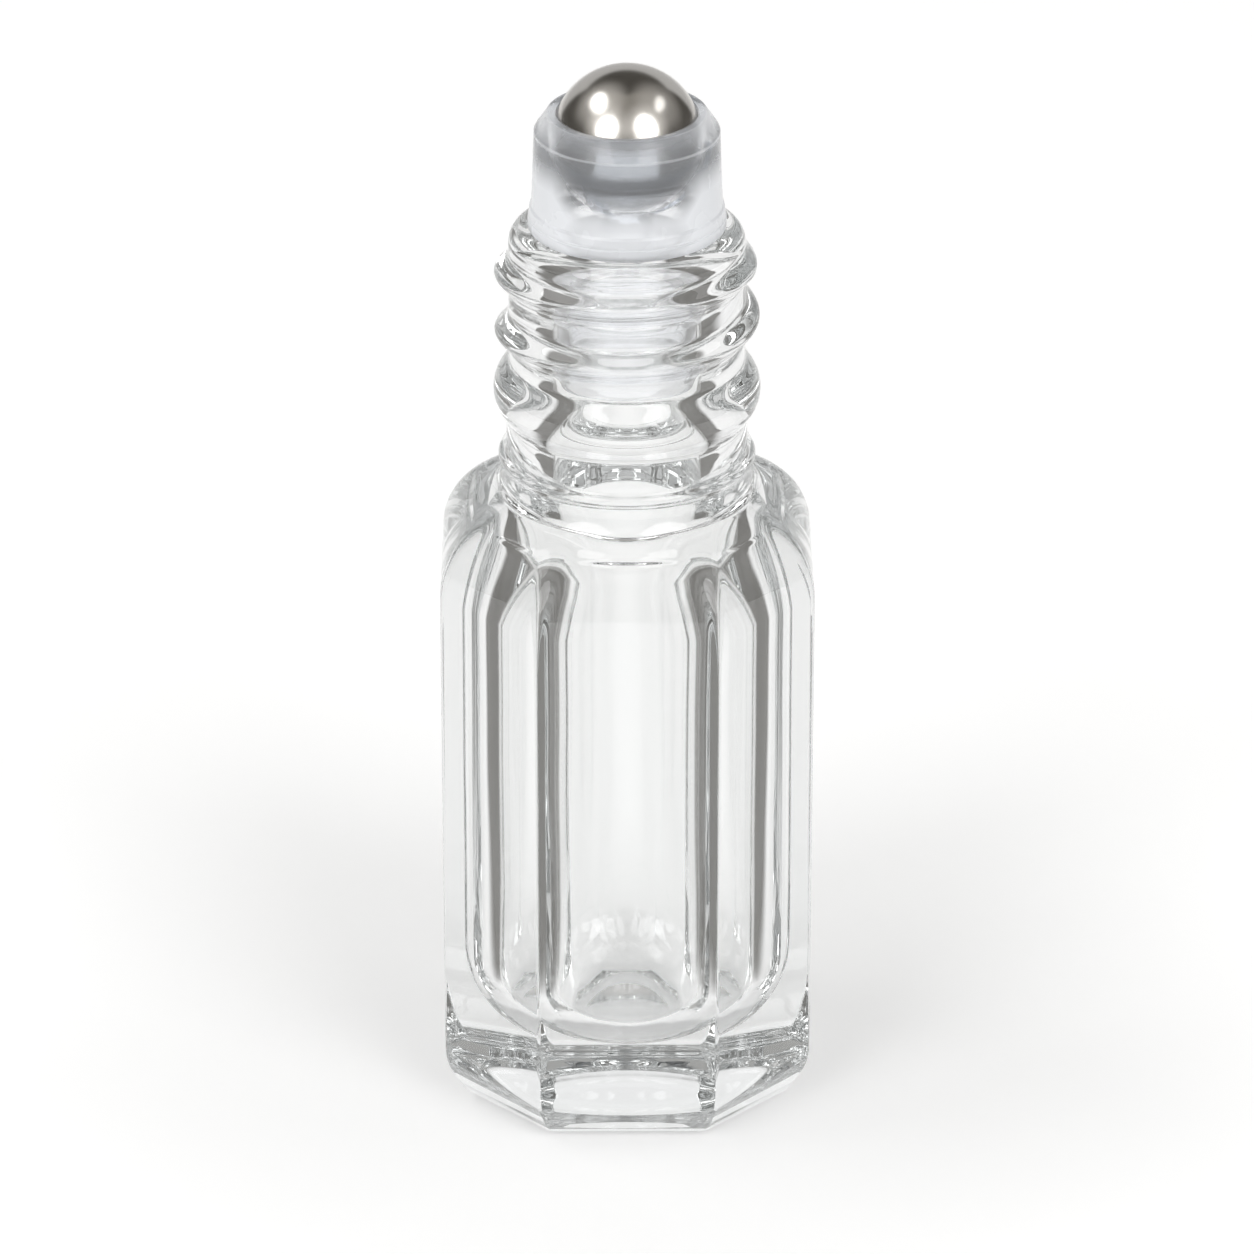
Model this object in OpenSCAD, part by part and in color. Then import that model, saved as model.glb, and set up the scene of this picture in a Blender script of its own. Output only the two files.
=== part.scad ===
// Glass roll-on bottle: an eight-sided body, a plug-in roller housing and a steel ball.
// Millimetres. The base stands on z = 0, the bottle's axis is +Z and the front facet faces -Y.

/* [Body] */
// Width of the body across its front and back facets
body_w = 20.2; // [17:0.1:25]
// Width of the front, back and side facets
facet_w = 9.8; // [8:0.1:11]
// Height from the base to the top of the shoulder's round
body_h = 36.1; // [28:0.05:55]
// Radius of the shoulder's round
shoulder_r = 5; // [3:0.1:6]
// How far the heel bevel draws the base in, on every side
heel_inset = 1.6; // [0.6:0.1:2.4]
// Height of the heel bevel
heel_h = 2.7; // [1:0.1:5]

/* [Cavity] */
// Glass between the cavity and the middle of a facet
wall_t = 3.6; // [2.6:0.1:4.4]
// Glass under the cavity
base_t = 4.4; // [3:0.1:7]
// Radius that rounds the cavity's floor into its wall
floor_r = 3.6; // [1:0.1:4.4]
// Foot of the cavity's own shoulder, below the top of the body
cavity_drop = 3.8; // [3:0.1:9]
// Width of the shallow dish under the base
dish_d = 10.8; // [6:0.1:12]
// Depth of the shallow dish under the base
dish_h = 0.5; // [0.2:0.1:1]

/* [Neck] */
// Bore of the neck, which takes the housing's plug
bore_d = 8; // [7.4:0.1:8.6]
// Neck between the shoulder and the bead
neck_d = 13; // [12.4:0.1:13.4]
// Neck at the root of the thread, and the lip
root_d = 12.7; // [12:0.1:13.2]
// Height of the neck above the shoulder
neck_h = 14.8; // [14:0.05:18]
// Radius that rounds the lip
lip_r = 0.95; // [0.3:0.05:1.1]
// Neck under the collar ring
foot_d = 13.5; // [13:0.1:13.9]
// Radius that sweeps the neck's foot out onto the shoulder
foot_r = 2.2; // [1:0.1:3]
// Outside diameter of the collar ring at the foot of the neck
collar_d = 13.9; // [13.6:0.1:14.5]
// Radius of the ring's edge
collar_r = 0.4; // [0.25:0.05:0.6]
// Plain neck between the swept foot and the ring
collar_gap = 0.15; // [0.05:0.05:1]
// Outside diameter of the bead under the thread
bead_d = 14.4; // [13.6:0.1:15]
// Height of the bead's middle above the shoulder
bead_rise = 5.45; // [5:0.05:6.4]
// Radius of the bead's round section
bead_r = 1.9; // [1:0.05:2.1]

/* [Thread] */
// Outside diameter of the thread
thread_d = 14.2; // [13.8:0.05:15]
// Climb of the thread in one turn
thread_lead = 3.35; // [3:0.05:3.7]
// Turns of the thread
thread_turns = 1.9; // [1.5:0.05:2]
// Width of the thread where it leaves the neck
thread_w = 1.5; // [1.2:0.1:2]
// Middle of the thread's top end, below the lip
thread_drop = 1.04; // [0.9:0.02:1.5]
// How far the thread stands lower on the +X side, and higher on the -X side, than an even climb
thread_lean = 0.42; // [0:0.02:0.6]
// Direction of the thread's top end, anticlockwise from +X
thread_clock = 32; // [0:1:359]
// Turning angle in which the top end rises out of the neck
thread_fade = 52; // [20:1:120]
// Turning angle in which the lower end fades away
thread_tail = 60; // [20:1:120]

/* [Ball] */
// Diameter of the ball
ball_d = 8; // [7.4:0.1:8.6]
// Height of the ball's middle above the lip
ball_rise = 4.95; // [4.9:0.05:6]
// Free space around the ball in its seat
ball_gap = 0.05; // [0.02:0.01:0.1]

/* [Housing] */
// Outside diameter at the top of the barrel
barrel_d = 9.9; // [9.6:0.1:10.6]
// Outside diameter at the foot of the barrel
barrel_foot_d = 10.2; // [9.8:0.1:10.8]
// Height of the barrel's top corner above the ball's middle
barrel_rise = 0.5; // [0:0.05:0.9]
// Height of the rim above the ball's middle
rim_rise = 1.5; // [1.1:0.05:1.8]
// Outside diameter of the flat on the rim
rim_d = 8.5; // [8.2:0.05:8.9]
// Diameter of the flange that seats on the lip
flange_d = 10.6; // [10.3:0.1:11.4]
// Height of the flange
flange_h = 1.3; // [0.8:0.05:1.3]
// Length of the plug below the lip
plug_len = 8.4; // [7:0.1:10]
// Free space around the plug's sealing ribs in the bore
plug_gap = 0.03; // [0.01:0.01:0.05]
// How far the sealing ribs stand out from the plug
rib_h = 0.2; // [0.1:0.02:0.3]
// Length of one sealing rib
rib_w = 0.7; // [0.4:0.05:1]
// Number of sealing ribs
rib_n = 3; // [2:1:4]
// Bore through the plug
plug_bore_d = 6.2; // [5.4:0.1:6.4]
// Hole that feeds the seat from the plug
feed_d = 2.6; // [1.6:0.1:3.4]
// Width of the feed channels in the seat
channel_w = 0.8; // [0.5:0.05:1]
// Depth of the feed channels in the seat
channel_h = 0.3; // [0.15:0.05:0.4]
// Number of feed channels
channel_n = 3; // [2:1:6]

/* [Hidden] */
glass = [0.86, 0.91, 0.92, 0.4];
milky = [0.93, 0.95, 0.97];
steel = [0.66, 0.64, 0.62];
// Facets of a full circle, and steps of a quarter arc in an outline
$fn = 96;
arc_steps = 10;
// Overrun that lets a cut pass a face
over = 1;
// Half widths and the facet that stands between two of them
half_w = body_w / 2;
corner_dist = (half_w + facet_w / 2) / sqrt(2);
shoulder_x = half_w - shoulder_r;
shoulder_z = body_h - shoulder_r;
cavity_r = half_w - wall_t;
lip_z = body_h + neck_h;
// The lip's round takes no more than this share of the neck's wall, so the flange keeps a flat to sit on
lip_share = 0.42;
lip_round = min(lip_r, (root_d - bore_d) / 2 * lip_share);
// The inside of the shoulder turns in by one arc and up into the bore by another
turn_in_share = 0.75;
bead_z = body_h + bead_rise;
// The housing's widths and the ball's height are those for the stock ball, and grow with a larger one
stock_ball_d = 8;
ball_grow = (ball_d - stock_ball_d) / 2;
seat_rise = ball_rise + ball_grow;
flange_x = flange_d / 2 + ball_grow;
barrel_foot_x = barrel_foot_d / 2 + ball_grow;
barrel_x = barrel_d / 2 + ball_grow;
rim_x = rim_d / 2 + ball_grow;
ball_z = lip_z + seat_rise;
seat_r = ball_d / 2 + ball_gap;
rim_z = ball_z + rim_rise;
// The flange has a lower band, a fine step and a rounded upper band
flange_step_share = 0.5;
step_share = 0.17;
step_w = (flange_d - barrel_foot_d) * step_share;
plug_r = bore_d / 2 - plug_gap - rib_h;
seat_floor_share = 1.3;
seat_floor_t = (seat_rise - seat_r) * seat_floor_share;
rim_round_share = 0.25;
rim_round = (rim_x - sqrt(seat_r * seat_r - rim_rise * rim_rise)) * rim_round_share;
// The thread's section sinks this far into the neck, and its run-out ends inside the glass
thread_sink_share = 0.2;
thread_sink = (thread_d - root_d) * thread_sink_share;
thread_end_share = 0.15;
thread_steps = 76;
thread_sides = 8;

// Points of a circular arc in an outline, from one angle to another
function arc(cx, cy, r, from, to, steps = arc_steps) =
    [for (i = [0:steps]) let (a = from + (to - from) * i / steps) [cx + r * cos(a), cy + r * sin(a)]];

// Smooth step from 0 to 1
function ease(t) = let (u = min(1, max(0, t))) u * u * (3 - 2 * u);

// One pair of facets: their side view runs from the heel bevel over the round shoulder
module facet_pair(dist) {
    side = concat(
        [[0, 0], [dist - heel_inset, 0], [dist, heel_h]],
        arc(dist - shoulder_r, shoulder_z, shoulder_r, 0, 90),
        [[0, body_h]]);
    rotate([90, 0, 0])
        linear_extrude(height = 2 * body_w, center = true)
            union() {
                polygon(side);
                mirror([1, 0]) polygon(side);
            }
}

// Eight-sided body: every facet keeps its own bevel and its own shoulder, so the corners run to the neck
module body_solid() {
    intersection() {
        facet_pair(half_w);
        rotate(90) facet_pair(half_w);
        rotate(45) facet_pair(corner_dist);
        rotate(-45) facet_pair(corner_dist);
    }
}

// Neck with its foot swept onto the shoulder, collar ring, plain stretch, bead, thread root and rounded lip
module neck_solid() {
    sweep_x = foot_d / 2 + foot_r;
    sweep = acos((sweep_x - shoulder_x) / (shoulder_r + foot_r));
    sweep_z = shoulder_z + (shoulder_r + foot_r) * sin(sweep);
    ring_low = acos((foot_d - collar_d) / 2 / collar_r + 1);
    ring_top = acos((neck_d - collar_d) / 2 / collar_r + 1);
    collar_z = sweep_z + collar_gap + collar_r * sin(ring_low);
    bead_x = bead_d / 2 - bead_r;
    bead_low = acos((neck_d / 2 - bead_x) / bead_r);
    bead_top = acos((root_d / 2 - bead_x) / bead_r);
    rotate_extrude()
        polygon(concat(
            [[0, shoulder_z], [shoulder_x, shoulder_z]],
            arc(sweep_x, sweep_z, foot_r, 180 + sweep, 180),
            arc(collar_d / 2 - collar_r, collar_z, collar_r, -ring_low, ring_top),
            arc(bead_x, bead_z, bead_r, -bead_low, bead_top),
            arc(root_d / 2 - lip_round, lip_z - lip_round, lip_round, 0, 90),
            [[0, lip_z]]));
}

// Point of the thread's section. Share 0 is its lower edge in the glass, 1 its upper edge
function thread_point(turn, share) =
    let (left = min(turn * 360 / thread_fade, (thread_turns - turn) * 360 / thread_tail))
    let (fade = thread_end_share + (1 - thread_end_share) * ease(left))
    let (r = root_d / 2 - thread_sink + (thread_d / 2 - root_d / 2 + thread_sink) * fade * sin(180 * share))
    let (a = thread_clock - 360 * turn)
    let (middle = lip_z - thread_drop - thread_lead * turn - thread_lean * cos(a))
    [r * cos(a), r * sin(a), middle - cos(180 * share) * thread_w / 2 * fade];

// Rounded thread that rises out of the neck, winds down it and fades into it again
module thread() {
    rings = [for (i = [0:thread_steps], j = [0:thread_sides])
        thread_point(thread_turns * i / thread_steps, j / thread_sides)];
    row = thread_sides + 1;
    skin = [for (i = [0:thread_steps - 1], j = [0:thread_sides])
        let (k = (j + 1) % row)
        each [[i * row + j, (i + 1) * row + k, i * row + k],
              [i * row + j, (i + 1) * row + j, (i + 1) * row + k]]];
    top = [for (j = [0:thread_sides]) j];
    tail = [for (j = [0:thread_sides]) thread_steps * row + thread_sides - j];
    polyhedron(rings, concat(skin, [top, tail]), convexity = 6);
}

// Inside of the bottle: rounded floor, straight wall, shoulder, bore and eased mouth
module cavity() {
    turn_in = (cavity_r - bore_d / 2) * turn_in_share;
    turn_up = (cavity_r - bore_d / 2) * (1 - turn_in_share);
    foot = body_h - cavity_drop;
    lip_ease = lip_round / 2;
    rotate_extrude()
        polygon(concat(
            [[0, base_t]],
            arc(cavity_r - floor_r, base_t + floor_r, floor_r, -90, 0),
            arc(cavity_r - turn_in, foot, turn_in, 0, 90),
            arc(bore_d / 2 + turn_up, foot + turn_in + turn_up, turn_up, 270, 180),
            arc(bore_d / 2 + lip_ease, lip_z - lip_ease, lip_ease, 180, 90, arc_steps / 2),
            [[bore_d / 2 + lip_ease, lip_z + over], [0, lip_z + over]]));
}

// Shallow dish that leaves the base standing on a flat ring
module base_dish() {
    dish_r = (dish_d * dish_d / 4 + dish_h * dish_h) / (2 * dish_h);
    reach = asin(dish_d / 2 / dish_r);
    rotate_extrude()
        polygon(concat(
            arc(0, dish_h - dish_r, dish_r, 90 - reach, 90),
            [[0, -over], [dish_d / 2, -over]]));
}

module glass_bottle() {
    color(glass)
        difference() {
            union() {
                body_solid();
                neck_solid();
                thread();
            }
            cavity();
            base_dish();
        }
}

// Outline of the plug from its lead-in to the lip, with sealing ribs that ride in the bore
function plug_outline() =
    let (pitch = plug_len / (rib_n + 1))
    concat(
        [[plug_bore_d / 2, lip_z - plug_len], [plug_r - rib_h, lip_z - plug_len],
         [plug_r, lip_z - plug_len + rib_w]],
        [for (i = [1:rib_n])
            let (z = lip_z - plug_len + pitch * i)
            each [[plug_r, z - rib_w / 2], [plug_r + rib_h, z - rib_w / 4],
                  [plug_r + rib_h, z + rib_w / 4], [plug_r, z + rib_w / 2]]],
        [[plug_r, lip_z]]);

// Outline of the flange, the tapered barrel and the bevelled rim
function barrel_outline() =
    let (step_z = lip_z + flange_h * flange_step_share)
    let (upper_r = flange_h * (1 - flange_step_share) / 2)
    concat(
        [[flange_x - step_w, lip_z], [flange_x, lip_z + step_w], [flange_x, step_z - step_w],
         [flange_x - step_w, step_z]],
        arc(flange_x - step_w - upper_r, step_z + upper_r, upper_r, 0, 60, arc_steps / 2),
        [[barrel_foot_x, lip_z + flange_h], [barrel_x, ball_z + barrel_rise]],
        arc(rim_x - rim_round, rim_z - rim_round, rim_round, 45, 90, arc_steps / 2));

// Ball seat: a round cup that closes over the ball, the feed hole and the channels beside it
module seat() {
    translate([0, 0, ball_z]) sphere(r = seat_r);
    translate([0, 0, lip_z - over]) cylinder(d = feed_d, h = seat_rise);
    for (i = [0:channel_n - 1])
        rotate([90, 0, 360 * i / channel_n])
            translate([0, ball_z, -channel_w / 2])
                linear_extrude(height = channel_w)
                    intersection() {
                        circle(r = seat_r + channel_h);
                        translate([0, -2 * seat_r]) square([2 * seat_r, 2 * seat_r]);
                    }
}

module roller_housing() {
    plug_top = ball_z - seat_r - seat_floor_t;
    color(milky)
        difference() {
            rotate_extrude()
                polygon(concat(plug_outline(), barrel_outline(),
                    [[0, rim_z], [0, plug_top], [plug_bore_d / 2, plug_top]]));
            seat();
        }
}

module roller_ball() {
    color(steel)
        translate([0, 0, ball_z]) sphere(d = ball_d);
}

glass_bottle();
roller_housing();
roller_ball();
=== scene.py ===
"""Looks of an eight-sided glass roll-on bottle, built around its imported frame.

Lengths inside the classes are millimetres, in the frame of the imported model: the base stands on z = 0,
the axis is +Z and the front facet faces -Y. Meshes are written in metres.
"""

from __future__ import annotations

import logging
import math
from dataclasses import dataclass
from enum import Enum
from typing import Sequence, Union

import bpy
import numpy as np
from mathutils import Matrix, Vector, noise


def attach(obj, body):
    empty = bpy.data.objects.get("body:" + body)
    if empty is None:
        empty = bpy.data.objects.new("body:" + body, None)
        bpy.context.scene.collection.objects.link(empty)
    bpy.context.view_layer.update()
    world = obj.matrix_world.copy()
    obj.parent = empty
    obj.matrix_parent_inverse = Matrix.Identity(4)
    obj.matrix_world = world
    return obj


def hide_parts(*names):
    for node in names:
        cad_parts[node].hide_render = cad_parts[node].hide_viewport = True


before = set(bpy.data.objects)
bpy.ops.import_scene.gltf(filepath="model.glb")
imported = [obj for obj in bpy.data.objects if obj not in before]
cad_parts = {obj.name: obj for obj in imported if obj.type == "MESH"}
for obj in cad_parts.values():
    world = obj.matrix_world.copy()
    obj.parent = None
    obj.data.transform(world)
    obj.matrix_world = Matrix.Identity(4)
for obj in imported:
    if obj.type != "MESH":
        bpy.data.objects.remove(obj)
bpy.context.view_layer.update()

LOG = logging.getLogger("roll_on_bottle")
MM = 0.001
LONGEST_EASE = 0.48  # share of a side that the rounding of one corner may take
Colour = tuple[float, float, float]
Span = tuple[float, float]
Outline = list[tuple[float, float]]
Corner = tuple[float, float, float]
Radii = Union[np.ndarray, float]
Ring = tuple[Radii, Radii]


# ---------------------------------------------------------------- shader graph


class Signal:
    """One output of a shader node. Arithmetic on it adds Math nodes to its graph."""

    def __init__(self, graph: "Graph", socket: bpy.types.NodeSocket) -> None:
        """Wraps a socket.

        Args:
            graph: The graph that the socket belongs to.
            socket: The output socket.
        """
        self.graph = graph
        self.socket = socket

    def _math(self, operation: str, *terms: "Value") -> "Signal":
        """Adds one Math node and returns its output."""
        return self.graph.node("ShaderNodeMath", {"operation": operation}, list(terms))

    def __add__(self, other: "Value") -> "Signal":
        """Returns self + other."""
        return self._math("ADD", self, other)

    __radd__ = __add__

    def __sub__(self, other: "Value") -> "Signal":
        """Returns self - other."""
        return self._math("SUBTRACT", self, other)

    def __rsub__(self, other: "Value") -> "Signal":
        """Returns other - self."""
        return self._math("SUBTRACT", other, self)

    def __mul__(self, other: "Value") -> "Signal":
        """Returns self * other."""
        return self._math("MULTIPLY", self, other)

    __rmul__ = __mul__

    def __truediv__(self, other: "Value") -> "Signal":
        """Returns self / other."""
        return self._math("DIVIDE", self, other)

    def __rtruediv__(self, other: "Value") -> "Signal":
        """Returns other / self."""
        return self._math("DIVIDE", other, self)

    def __pow__(self, other: "Value") -> "Signal":
        """Returns self to the power of other."""
        return self._math("POWER", self, other)

    def __or__(self, other: "Value") -> "Signal":
        """Returns the larger of self and other."""
        return self._math("MAXIMUM", self, other)

    __ror__ = __or__

    def __abs__(self) -> "Signal":
        """Returns the size of self without its sign."""
        return self._math("ABSOLUTE", self)

    def ramp(self, low: float, high: float, start: float = 0.0, end: float = 1.0) -> "Signal":
        """Maps low..high to start..end with a smooth step, held at both ends.

        Args:
            low: Value of self at which the result is start.
            high: Value of self at which the result is end.
            start: Result at low.
            end: Result at high.

        Returns:
            The mapped signal.
        """
        return self.graph.node(
            "ShaderNodeMapRange",
            {"interpolation_type": "SMOOTHSTEP"},
            {"Value": self, "From Min": low, "From Max": high, "To Min": start, "To Max": end},
        )


Value = Union[float, Sequence[float], Signal]


class Graph:
    """The node tree of one material or of the world."""

    def __init__(self, tree: bpy.types.NodeTree) -> None:
        """Empties the tree, so that every node in it comes from this script.

        Args:
            tree: The node tree to fill.
        """
        self.tree = tree
        tree.nodes.clear()

    def node(
        self,
        kind: str,
        settings: dict[str, object] | None = None,
        inputs: Union[dict[str, Value], list[Value], None] = None,
        output: Union[str, int] = 0,
    ) -> Signal:
        """Adds any node.

        Args:
            kind: Blender's name for the node type.
            settings: Properties that are set before the sockets, such as a Math node's operation.
            inputs: Values or links, by socket name or in socket order.
            output: Name or number of the output that is returned.

        Returns:
            The chosen output.
        """
        made = self.tree.nodes.new(kind)
        for key, value in (settings or {}).items():
            setattr(made, key, value)
        pairs = inputs.items() if isinstance(inputs, dict) else enumerate(inputs or [])
        for key, value in pairs:
            if isinstance(value, Signal):
                self.tree.links.new(value.socket, made.inputs[key])
            else:
                made.inputs[key].default_value = value
        outputs = [s for s in made.outputs if s.enabled]
        chosen = made.outputs[output] if isinstance(output, str) else outputs[output] if outputs else None
        return Signal(self, chosen)

    def mix(self, share: Value, first: Value, second: Value) -> Signal:
        """Mixes two colours.

        Args:
            share: 0 gives first and 1 gives second.
            first: Colour at share 0.
            second: Colour at share 1.

        Returns:
            The mixed colour.
        """
        made = self.tree.nodes.new("ShaderNodeMix")
        made.data_type = "RGBA"
        sockets = [s for s in made.inputs if s.enabled]
        for socket, value in zip(sockets, (share, first, second)):
            if isinstance(value, Signal):
                self.tree.links.new(value.socket, socket)
            elif isinstance(value, tuple):
                socket.default_value = (*value, 1.0)
            else:
                socket.default_value = value
        return Signal(self, next(s for s in made.outputs if s.enabled))

    def place(self) -> Signal:
        """Returns the object's own coordinates."""
        return self.node("ShaderNodeTexCoord", output="Object")

    def part(self, vector: Signal, axis: str) -> Signal:
        """Returns the X, Y or Z of a vector."""
        return self.node("ShaderNodeSeparateXYZ", None, [vector], axis)

    def vector(self, operation: str, *terms: Value, output: str = "Vector") -> Signal:
        """Adds one Vector Math node and returns its output."""
        return self.node("ShaderNodeVectorMath", {"operation": operation}, list(terms), output)

    def ray(self, kind: str) -> Signal:
        """Returns 1 on rays of a kind, such as Camera or Glossy, and 0 on others."""
        return self.node("ShaderNodeLightPath", output=f"Is {kind} Ray")

    def blend(self, share: Value, first: Signal, second: Signal) -> Signal:
        """Mixes two shaders: share 0 gives first and 1 gives second."""
        return self.node("ShaderNodeMixShader", None, [share, first, second])

    def principled(self, inputs: dict[str, Value]) -> Signal:
        """Adds a Principled shader with the given values or links."""
        return self.node("ShaderNodeBsdfPrincipled", None, inputs)

    def surface(self, shader: Signal, volume: Signal | None = None) -> None:
        """Ends a material with its surface and, where there is one, its volume."""
        ends = {"Surface": shader} if volume is None else {"Surface": shader, "Volume": volume}
        self.node("ShaderNodeOutputMaterial", None, ends)

    def grain(self, scale: float, detail: float, stretch: Sequence[float] = (1, 1, 1)) -> Signal:
        """Adds three-dimensional noise.

        Args:
            scale: Noise cells in a metre.
            detail: Octaves of finer noise.
            stretch: Factor on each axis of the object's coordinates.

        Returns:
            The noise, about 0.5.
        """
        spot = self.vector("MULTIPLY", self.place(), tuple(stretch))
        inputs = {"Vector": spot, "Scale": scale, "Detail": detail}
        return self.node("ShaderNodeTexNoise", None, inputs, "Fac")

    def bump(self, height: Signal, distance: float) -> Signal:
        """Turns a height of 0 to 1 into a normal. Distance is a height of 1 in metres."""
        inputs = {"Height": height, "Distance": distance, "Strength": 1.0}
        return self.node("ShaderNodeBump", None, inputs, "Normal")


def new_material(name: str) -> tuple[bpy.types.Material, Graph]:
    """Makes an empty node material.

    Args:
        name: Name of the material.

    Returns:
        The material and its graph.
    """
    material = bpy.data.materials.new(name)
    material.use_nodes = True
    return material, Graph(material.node_tree)


# ---------------------------------------------------------------- finishes


@dataclass(frozen=True)
class ClearGlass:
    """Colourless moulded glass: fire polished, with a faint ripple and a trace of grey in its depth."""

    tint: Colour = (0.992, 0.996, 0.995)
    depth_colour: Colour = (0.78, 0.79, 0.79)
    depth_density: float = 38.0
    ior: float = 1.52
    ripple_cells: float = 260.0
    ripple_stretch: Colour = (1.0, 1.0, 0.45)
    ripple_height: float = 6e-6
    smear_cells: float = 520.0
    smear_range: Span = (0.35, 0.85)
    smear_roughness: float = 0.022

    def material(self) -> bpy.types.Material:
        """Mixes clear glass.

        Returns:
            The glass material.
        """
        material, g = new_material("clear_glass")
        ripple = g.grain(self.ripple_cells, 1.0, self.ripple_stretch)
        smear = g.grain(self.smear_cells, 3.0)
        shader = g.principled(
            {
                "Base Color": (*self.tint, 1.0),
                "Roughness": smear.ramp(*self.smear_range, 0.0, self.smear_roughness),
                "IOR": self.ior,
                "Transmission Weight": 1.0,
                "Normal": g.bump(ripple, self.ripple_height),
            }
        )
        inputs = {"Color": (*self.depth_colour, 1.0), "Density": self.depth_density}
        g.surface(shader, g.node("ShaderNodeVolumeAbsorption", None, inputs))
        return material


@dataclass(frozen=True)
class MilkyPlastic:
    """Translucent moulded plastic: clear where the plug is thin, milky in the barrel, with a satin gloss.

    Milk is the share of the surface that scatters light as a solid does. The seat is tinted with painted
    shade and the plug has a faint painted glow. Heights and reaches are metres.
    """

    colour: Colour = (0.74, 0.755, 0.78)
    dim_share: float = 0.96
    clear_colour: Colour = (0.95, 0.955, 0.97)
    # painted shade: the blue-grey tint of the seat stands in for the ball's shade seen through the plastic
    seat_painted_shade: Colour = (0.70, 0.77, 0.87)
    barrel_milk: float = 0.14
    flange_milk: float = 0.72
    plug_milk: float = 0.05
    edge_milk: float = 0.75
    line_milk: float = 0.22
    rim_milk: float = 0.34
    plug_top: float = 0.0509
    plug_fade: float = 0.0004
    flange_fade: Span = (0.0017, 0.0033)
    ball_z: float = 0.05585
    seat_radius: float = 0.00405
    seat_fade: Span = (0.00033, 0.0005)
    # painted shade in the seat fades to the clear colour where the seat turns edge-on
    seat_shade_edge: Span = (0.25, 0.80)
    line_rise: float = 0.00046
    line_fade: Span = (0.00012, 0.00003)
    rim_fade: float = 0.0012
    side_edge: Span = (0.11, 0.34)
    side_drop: float = 0.0020
    side_rise: float = 0.0010
    side_share: Span = (0.1, 0.5)
    edge_blend: float = 0.35
    cloud_cells: float = 420.0
    cloud_range: Span = (0.2, 0.8)
    grain_cells: float = 2600.0
    grain_height: float = 4e-6
    gloss_roughness: Span = (0.22, 0.31)
    plug_roughness: Span = (0.05, 0.11)
    barrel_roughness: Span = (0.09, 0.13)
    coat: float = 0.8
    coat_roughness: float = 0.2
    barrel_ior: float = 1.06
    plug_ior: float = 1.45
    # painted light: the plug glows faintly, standing in for light scattered through it; it is no lamp
    plug_painted_glow: float = 0.06

    def clear(self, g: Graph, inputs: dict[str, Value]) -> Signal:
        """Adds see-through plastic under a gloss coat.

        Args:
            g: Graph of the material.
            inputs: What the plug and the barrel don't share.

        Returns:
            The shader.
        """
        shared: dict[str, Value] = {
            "Transmission Weight": 1.0,
            "Coat Weight": self.coat,
            "Coat Roughness": self.coat_roughness,
            # colour of the painted glow; only the plug glows, the barrel's strength is 0
            "Emission Color": (*self.clear_colour, 1.0),
        }
        return g.principled(inputs | shared)

    def milk(self, height: Signal, edge: Signal, above: Signal, skin: Signal) -> Signal:
        """Works out the milk over the surface.

        Args:
            height: Height of the surface point.
            edge: 0 where the surface faces the eye and 1 where it turns away.
            above: 0 on the plug and 1 on the flange and barrel.
            skin: 0 on the seat and 1 away from it.

        Returns:
            The milk: more on the flange, at the barrel's sides, on its corner line and round the rim.
        """
        low, high = (self.plug_top + z for z in self.flange_fade)
        flange = height.ramp(low, high, self.flange_milk, self.barrel_milk)
        line = abs(height - (self.ball_z + self.line_rise)).ramp(*self.line_fade, 0.0, self.line_milk)
        rim = height.ramp(self.ball_z, self.ball_z + self.rim_fade, 0.0, self.rim_milk)
        below = height.ramp(self.ball_z, self.ball_z - self.side_drop)
        bevel = height.ramp(self.ball_z, self.ball_z + self.side_rise, *self.side_share)
        side = edge.ramp(*self.side_edge, 0.0, self.edge_milk) * (below + bevel)
        barrel = skin * (flange + side + line) + (1.0 - skin) * rim
        return self.plug_milk + above * (barrel - self.plug_milk)

    def material(self) -> bpy.types.Material:
        """Mixes plug, barrel and milk.

        Returns:
            The plastic material.
        """
        material, g = new_material("milky_plastic")
        cloud = g.grain(self.cloud_cells, 3.0)
        normal = g.bump(g.grain(self.grain_cells, 2.0), self.grain_height)
        edge = g.node("ShaderNodeLayerWeight", None, {"Blend": self.edge_blend}, "Facing")
        height = g.part(g.place(), "Z")
        above = height.ramp(self.plug_top - self.plug_fade, self.plug_top + self.plug_fade)
        offset = g.vector("SUBTRACT", g.place(), (0.0, 0.0, self.ball_z))
        reach = g.vector("LENGTH", offset, output="Value")
        skin = reach.ramp(*(self.seat_radius + r for r in self.seat_fade))
        # painted shade: the seat is tinted darker where the ball shades it, fading out towards the seat's
        # edge-on outline
        bowl = g.mix(edge.ramp(*self.seat_shade_edge), self.seat_painted_shade, self.clear_colour)
        plug = self.clear(
            g,
            {
                "Base Color": (*self.clear_colour, 1.0),
                "Roughness": cloud.ramp(*self.cloud_range, *self.plug_roughness),
                "IOR": self.plug_ior,
                "Emission Strength": self.plug_painted_glow,
                "Normal": normal,
            },
        )
        barrel = self.clear(
            g,
            {
                "Base Color": g.mix(skin, bowl, self.clear_colour),
                "Roughness": cloud.ramp(*self.cloud_range, *self.barrel_roughness),
                "IOR": self.barrel_ior,
                "Emission Strength": 0.0,
                "Normal": normal,
            },
        )
        body = g.principled(
            {
                "Base Color": g.mix(cloud, tuple(c * self.dim_share for c in self.colour), self.colour),
                "Roughness": cloud.ramp(*self.cloud_range, *self.gloss_roughness),
                "Normal": normal,
            }
        )
        g.surface(g.blend(self.milk(height, edge, above, skin), g.blend(above, plug, barrel), body))
        return material


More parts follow.
